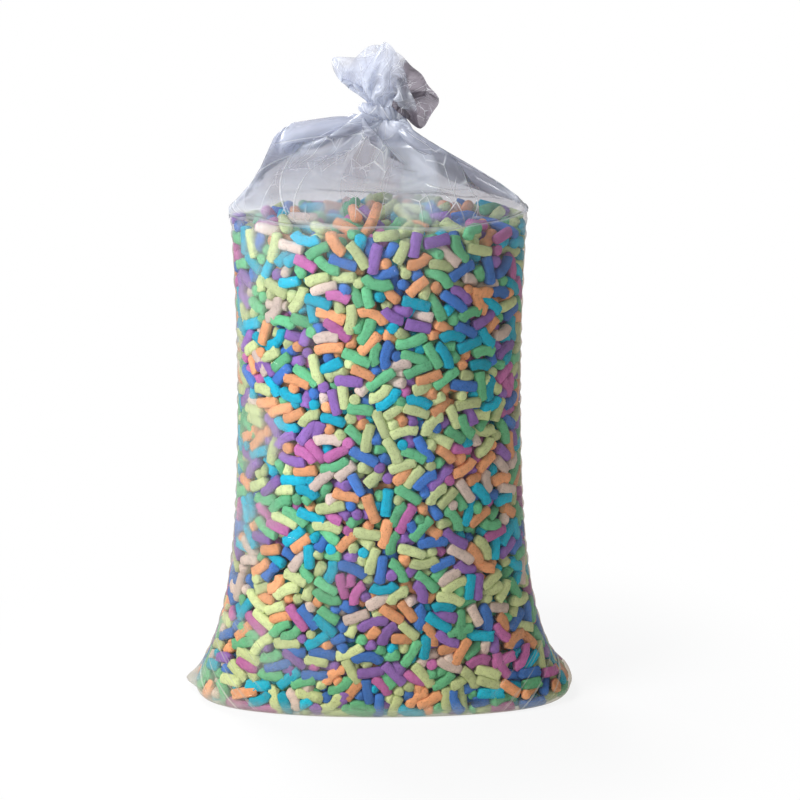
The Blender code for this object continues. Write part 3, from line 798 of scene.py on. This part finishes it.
class Nodes:
    """Short ways to add and join the nodes of one tree."""

    def __init__(self, tree):
        self.tree = tree

    def add(self, kind, **values):
        node = self.tree.nodes.new(kind)
        for key, value in values.items():
            setattr(node, key, value)
        return node

    def link(self, source, target):
        self.tree.links.new(source, target)

    def feed(self, value, socket):
        """Links an output to a socket, or writes a plain value on it."""
        if hasattr(value, "is_output"):
            self.link(value, socket)
        else:
            socket.default_value = value

    def math(self, operation, first, second=None, clamp=False):
        node = self.add("ShaderNodeMath", operation=operation, use_clamp=clamp)
        self.feed(first, node.inputs[0])
        if second is not None:
            self.feed(second, node.inputs[1])
        return node.outputs[0]

    def times(self, first, second):
        return self.math("MULTIPLY", first, second)

    def plus(self, first, second, clamp=False):
        return self.math("ADD", first, second, clamp)

    def minus(self, first, second, clamp=False):
        return self.math("SUBTRACT", first, second, clamp)

    def larger(self, first, second):
        return self.math("MAXIMUM", first, second)

    def vector(self, operation, first, second):
        node = self.add("ShaderNodeVectorMath", operation=operation)
        self.feed(first, node.inputs[0])
        self.feed(second, node.inputs[1])
        return node.outputs["Value" if operation == "DOT_PRODUCT" else "Vector"]

    def noise(self, place, scale, detail):
        node = self.add("ShaderNodeTexNoise")
        node.inputs["Scale"].default_value = scale
        node.inputs["Detail"].default_value = detail
        self.link(place, node.inputs["Vector"])
        return node.outputs["Fac"]

    def cells(self, place, scale, feature="F1"):
        node = self.add("ShaderNodeTexVoronoi", feature=feature)
        node.inputs["Scale"].default_value = scale
        self.link(place, node.inputs["Vector"])
        return node.outputs

    def ramp(self, value, across, onto, kind="SMOOTHSTEP"):
        node = self.add("ShaderNodeMapRange", interpolation_type=kind)
        node.inputs["From Min"].default_value, node.inputs["From Max"].default_value = across
        node.inputs["To Min"].default_value, node.inputs["To Max"].default_value = onto
        self.link(value, node.inputs["Value"])
        return node.outputs["Result"]

    def blend(self, share, first, second):
        """The first colour, going over into the second."""
        node = self.add("ShaderNodeMix", data_type="RGBA")
        self.link(share, node.inputs["Factor"])
        self.feed(first, node.inputs["A"])
        self.feed(second, node.inputs["B"])
        return node.outputs["Result"]

    def shader(self, kind, **values):
        """A shader, with a value or a link for each socket that is named, words joined by underscores."""
        node = self.add(kind)
        for key, value in values.items():
            self.feed(value, node.inputs[key.replace("_", " ")])
        return node.outputs[0]

    def mixed(self, share, first, second):
        """The first shader, going over into the second."""
        node = self.add("ShaderNodeMixShader")
        self.feed(share, node.inputs["Fac"])
        self.link(first, node.inputs[1])
        self.link(second, node.inputs[2])
        return node.outputs[0]

    def bump(self, height, strength, distance):
        node = self.add("ShaderNodeBump")
        node.inputs["Strength"].default_value = strength
        node.inputs["Distance"].default_value = distance
        self.link(height, node.inputs["Height"])
        return node.outputs["Normal"]


def new_material(name):
    material = bpy.data.materials.new(name)
    material.use_nodes = True
    material.node_tree.nodes.clear()
    n = Nodes(material.node_tree)
    return material, n, n.add("ShaderNodeOutputMaterial").inputs["Surface"]


def new_group(name, inputs, outputs):
    """An empty node group, its maker, what comes into it and where its results go."""
    tree = bpy.data.node_groups.new(name, "ShaderNodeTree")
    for way, sockets in (("INPUT", inputs), ("OUTPUT", outputs)):
        for socket, kind in sockets:
            tree.interface.new_socket(socket, in_out=way, socket_type=f"NodeSocket{kind}")
    n = Nodes(tree)
    return tree, n, n.add("NodeGroupInput").outputs, n.add("NodeGroupOutput").inputs


def foam_group():
    """Starch foam: a soft mottle in its colour, open pores that dent it and are darkened by painted shade
    in them, and each peanut's tone, which also carries painted light at the heap's top.
    """
    made = bpy.data.node_groups.get("starch_foam")
    if made:
        return made
    tree, n, entry, leave = new_group(
        "starch_foam", (("Colour", "Color"), ("Tone_And_Top_Light", "Float")), (("Colour", "Color"), ("Height", "Float"))
    )
    place = n.add("ShaderNodeTexCoord").outputs["Object"]
    mottle = n.noise(place, 160, 3)
    pit = n.ramp(n.cells(place, 420)["Distance"], (0.10, 0.34), (0.0, 1.0))
    # Painted shade in the pores: the colour darkens inside each pit, over its dent
    painted_pit_shade = n.ramp(pit, (0.0, 1.0), (0.62, 1.0), "LINEAR")
    cloud = n.ramp(mottle, (0.3, 0.7), (0.88, 1.10), "LINEAR")
    # Each peanut's own random tone, with painted light added at the heap's top, scales its brightness
    tone = n.ramp(entry["Tone_And_Top_Light"], (0.0, 2.0), (0.80, 1.56), "LINEAR")
    shade = n.add("ShaderNodeHueSaturation")
    n.link(entry["Colour"], shade.inputs["Color"])
    n.link(n.times(n.times(painted_pit_shade, cloud), tone), shade.inputs["Value"])
    n.link(shade.outputs["Color"], leave["Colour"])
    n.link(n.plus(pit, n.times(mottle, 0.8)), leave["Height"])
    return tree


def peanut_material(name, colour):
    """Matt starch foam in one colour, with a tone of its own for each peanut, and painted light that
    brightens the peanuts at the heap's top.
    """
    material, n, surface = new_material(f"{name}_foam")
    foam = n.add("ShaderNodeGroup", node_tree=foam_group())
    foam.inputs["Colour"].default_value = (*colour, 1)
    tone = n.add("ShaderNodeAttribute", attribute_name="tone")
    n.link(tone.outputs["Fac"], foam.inputs["Tone_And_Top_Light"])
    shader = n.shader(
        "ShaderNodeBsdfPrincipled",
        Base_Color=foam.outputs["Colour"],
        Roughness=0.78,
        Specular_IOR_Level=0.3,
        Normal=n.bump(foam.outputs["Height"], 0.7, 0.0007),
    )
    n.link(shader, surface)
    return material


def film_creases(n, rest):
    """Thin, broken crease lines on the flat tube, and its places as the last pattern stretches them."""
    lines = []
    for scale, width, length in CREASE_PATTERNS:
        stretched = n.add("ShaderNodeMapping")
        stretched.inputs["Scale"].default_value = (1, 1, length)
        stretched.inputs["Location"].default_value = (scale, 0, 0)
        n.link(rest, stretched.inputs["Vector"])
        place = stretched.outputs["Vector"]
        line = n.ramp(n.cells(place, scale, "DISTANCE_TO_EDGE")["Distance"], (0.0, width), (1.0, 0.0))
        broken = n.ramp(n.noise(place, scale * 0.6, 1), (0.48, 0.60), (0.0, 1.0))
        lines.append(n.times(line, broken))
    return n.larger(n.larger(*lines[:2]), lines[2]), place


def taut_corner_highlights(n, outward, z):
    """The slanted pull lines that run up from the two ears, whitened as painted highlights."""
    slanted = n.add("ShaderNodeCombineXYZ")
    n.link(n.minus(n.times(outward, 210), n.times(z, 185)), slanted.inputs[0])
    n.link(n.times(n.plus(outward, z), 9), slanted.inputs[1])
    taut = n.ramp(n.noise(slanted.outputs[0], 1, 2), (0.56, 0.68), (0.0, 0.5))
    taut = n.times(taut, n.ramp(outward, (0.12, 0.17), (0.0, 1.0)))
    return n.times(taut, n.ramp(z, (0.13, 0.06), (0.0, 1.0)))


def film_group():
    """Polyethylene film: its milky haze, with a painted sheen to the left and painted highlights along its
    creases and pull lines; its smoky tint, with painted warm light low on the bag and a painted dark
    reflection at its edges; how much it mirrors; and its fine creases.
    """
    made = bpy.data.node_groups.get("polyethylene_film")
    if made:
        return made
    tree, n, entry, leave = new_group(
        "polyethylene_film",
        [(name, "Float") for name in ("Milk", "Smoke", "Crease", "Facing")],
        [(name, "Float") for name in ("Haze", "Mirror", "Height")]
        + [(name, "Color") for name in ("Tint", "Milk Colour")],
    )
    milk, smoke, crease, facing = (entry[name] for name in ("Milk", "Smoke", "Crease", "Facing"))
    place = n.add("ShaderNodeTexCoord").outputs["Object"]
    apart = n.add("ShaderNodeSeparateXYZ")
    n.link(place, apart.inputs[0])
    x, z = apart.outputs["X"], apart.outputs["Z"]
    rest = n.add("ShaderNodeAttribute", attribute_name="rest").outputs["Vector"]
    ridge, stretched = film_creases(n, rest)
    panes = n.cells(stretched, PANE_SCALE)
    upper = n.ramp(z, (SHOULDER_HEIGHT - 0.06, SHOULDER_HEIGHT + 0.03), (0.0, 1.0))
    smoky = n.ramp(smoke, (0.52, 0.80), (0.0, 1.0))

    # Haze: milk, creases (partly crease whitening, partly painted highlights), a painted sheen to the
    # left, cloudy panes, taut corners with painted highlights, the foot and the heap's top
    clouds = n.noise(place, 11, 3)
    left = n.ramp(x, (0.02, -0.16), (0.0, 1.0))
    # Painted sheen: cloudy haze on the left of the bag, where the key light falls
    painted_left_sheen = n.times(n.plus(n.times(left, 0.97), 0.03), n.ramp(clouds, (0.42, 0.72), (0.0, 1.0)))
    chance = n.add("ShaderNodeSeparateXYZ")
    n.link(panes["Color"], chance.inputs[0])
    pane = n.times(n.ramp(chance.outputs["X"], (0.3, 1.0), (0.0, 0.55)), smoke)
    over = n.times(
        n.ramp(z, (SHOULDER_HEIGHT + 0.09, SHOULDER_HEIGHT + 0.02), (0.0, 0.12)),
        n.ramp(z, (SHOULDER_HEIGHT - 0.09, SHOULDER_HEIGHT), (0.0, 1.0)),
    )
    haze = n.times(milk, 0.55)
    # Creases whiten the haze: partly crease whitening, partly painted highlights
    haze = n.plus(haze, n.times(n.times(ridge, smoke), 1.3))
    haze = n.plus(haze, n.times(crease, 0.35))
    haze = n.plus(haze, n.times(painted_left_sheen, 0.42))
    haze = n.plus(haze, n.times(pane, n.minus(1.3, smoke)))
    haze = n.plus(haze, taut_corner_highlights(n, n.math("ABSOLUTE", x), z))
    haze = n.plus(haze, n.ramp(z, (0.022, 0.003), (0.0, 0.45)))
    haze = n.plus(haze, n.times(over, n.ramp(clouds, (0.3, 0.6), (0.45, 1.0))))
    haze = n.plus(haze, 0.008)
    n.link(n.plus(haze, n.times(smoky, 0.5), clamp=True), leave["Haze"])

    # Tint of what is seen through the film: deeper where it is smoky, and deeper towards its edges, where
    # a dark reflection is painted at grazing angles
    # Painted warm room light low on the bag and to the right, fading out higher up and to the left
    beyond_warm_light = n.times(n.ramp(z, (0.0, 0.30), (0.0, 1.0)), n.ramp(x, (0.04, 0.15), (1.0, 0.0)))
    clear = n.blend(n.larger(beyond_warm_light, upper), *CLEAR_AND_WARM_LIGHT_TINTS)
    deep = n.blend(upper, *SMOKE_AND_EDGE_REFLECTION_TINTS)
    # Painted dark reflection: the tint deepens as the film turns edge-on
    edge = n.times(n.math("POWER", facing, 2.2), 0.9)
    n.link(n.blend(n.larger(edge, smoke), clear, deep), leave["Tint"])

    # Colour of the haze: white on creases, partly crease whitening and partly painted highlights, and dim
    # on the smoky lobe between them
    white = n.blend(n.times(ridge, upper), n.blend(upper, *MILK_AND_WARM_LIGHT_COLOURS), CREASE_WHITE_AND_HIGHLIGHT)
    n.link(n.blend(n.minus(smoky, ridge, clamp=True), white, SMOKY_FILM), leave["Milk Colour"])

    grazing = n.ramp(smoke, (0.0, 0.4), (0.22, 0.75))
    grazing = n.minus(grazing, n.ramp(smoke, (0.5, 1.0), (0.0, 0.5)))
    mirror = n.times(n.math("POWER", facing, 4.0), grazing)
    n.link(n.plus(mirror, 0.016, clamp=True), leave["Mirror"])

    # Height: a fine waviness, the creases, and flat panes that each lean their own way
    away = n.vector("SUBTRACT", stretched, panes["Position"])
    slope = n.vector("SUBTRACT", panes["Color"], (0.5, 0.5, 0.5))
    flat = n.times(n.times(n.vector("DOT_PRODUCT", away, slope), smoke), PANE_SLOPE)
    waves = n.plus(n.times(n.noise(rest, 60, 2), 0.2), n.times(ridge, 0.6))
    n.link(n.plus(waves, flat), leave["Height"])
    return tree


def film_material():
    """Film that shows what is behind it, with milky haze and a gloss that grows towards its edges."""
    made = bpy.data.materials.get("clear_film_sheet")
    if made:
        return made
    material, n, surface = new_material("clear_film_sheet")
    film = n.add("ShaderNodeGroup", node_tree=film_group())
    for name in ("milk", "smoke", "crease"):
        layer = n.add("ShaderNodeAttribute", attribute_name=name)
        n.link(layer.outputs["Fac"], film.inputs[name.capitalize()])
    facing = n.add("ShaderNodeLayerWeight")
    facing.inputs["Blend"].default_value = 0.5
    n.link(facing.outputs["Facing"], film.inputs["Facing"])
    normal = n.bump(film.outputs["Height"], 1.0, 0.001)
    colour = film.outputs["Milk Colour"]
    clear = n.shader("ShaderNodeBsdfTransparent", Color=film.outputs["Tint"])
    milk = n.shader("ShaderNodeBsdfPrincipled", Base_Color=colour, Roughness=0.22, Normal=normal)
    through = n.shader("ShaderNodeBsdfTranslucent", Color=colour)
    gloss = n.shader("ShaderNodeBsdfGlossy", Roughness=0.12, Normal=normal)
    hazy = n.mixed(film.outputs["Haze"], clear, n.mixed(0.5, milk, through))
    n.link(n.mixed(film.outputs["Mirror"], hazy, gloss), surface)
    return material


# Floor, lamps and camera


def backdrop_material():
    """White for the camera and for reflections, fading from a lit floor that keeps the bag's shadow."""
    material, n, surface = new_material("studio_floor")
    paper = n.shader("ShaderNodeBsdfDiffuse", Color=(0.75, 0.75, 0.75, 1))
    white = n.shader("ShaderNodeEmission", Strength=1.0)
    place = n.add("ShaderNodeTexCoord").outputs["Object"]
    length = n.add("ShaderNodeVectorMath", operation="LENGTH")
    n.link(place, length.inputs[0])
    fade = n.ramp(length.outputs["Value"], (0.25, 0.60), (0.85, 1.0))
    rays = n.add("ShaderNodeLightPath").outputs
    seen = n.larger(n.larger(rays["Is Camera Ray"], rays["Is Glossy Ray"]), rays["Is Transmission Ray"])
    n.link(n.mixed(n.times(seen, fade), paper, white), surface)
    return material


def light_world():
    """Soft light from all round, white where the camera or film sees it."""
    world = bpy.data.worlds.new("studio")
    bpy.context.scene.world = world
    world.use_nodes = True
    world.node_tree.nodes.clear()
    n = Nodes(world.node_tree)
    soft = n.shader("ShaderNodeBackground", Color=(0.93, 0.96, 1.0, 1), Strength=0.29)
    white = n.shader("ShaderNodeBackground", Color=(1, 1, 1, 1), Strength=1.0)
    rays = n.add("ShaderNodeLightPath").outputs
    seen = n.larger(rays["Is Camera Ray"], n.times(rays["Is Glossy Ray"], 0.4))
    seen = n.larger(seen, rays["Is Transmission Ray"])
    n.link(n.mixed(seen, soft, white), n.add("ShaderNodeOutputWorld").inputs["Surface"])


def light_stage():
    start_piece()
    bpy.ops.mesh.primitive_circle_add(
        vertices=64, radius=FLOOR_RADIUS, fill_type="NGON", location=(0, 0, FLOOR_HEIGHT)
    )
    floor = bpy.context.object
    floor.name = "floor"
    bpy.ops.object.transform_apply(location=True, rotation=True, scale=True)
    floor.data.materials.append(backdrop_material())
    light_world()
    for name, place, size, power in LAMPS:
        bpy.ops.object.light_add(type="AREA", location=place)
        lamp = bpy.context.object
        lamp.name = name
        lamp.data.shape = "SQUARE"
        lamp.data.size = size
        lamp.data.energy = power
        toward = Vector(LAMP_AIM) - Vector(place)
        lamp.rotation_euler = toward.to_track_quat("-Z", "Y").to_euler()


def place_camera():
    """The photograph's view: from a little above, with the bag upright."""
    target = Vector(CAMERA_AIM)
    back = Vector((0, -math.cos(CAMERA_TILT), math.sin(CAMERA_TILT)))
    bpy.ops.object.camera_add(location=target + back * CAMERA_AWAY)
    camera = bpy.context.object
    camera.rotation_euler = (target - camera.location).to_track_quat("-Z", "Y").to_euler()
    camera.data.sensor_width = SENSOR_WIDTH
    camera.data.lens = SENSOR_WIDTH * CAMERA_AWAY / CAMERA_FRAME
    bpy.context.scene.camera = camera


def main():
    place_camera()
    light_stage()
    fills = peanut_meshes()
    hidden = [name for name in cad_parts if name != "bag_film"]
    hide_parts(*hidden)
    film = film_piece()
    knot = knot_piece()
    bpy.context.scene.view_settings.view_transform = "Standard"


main()
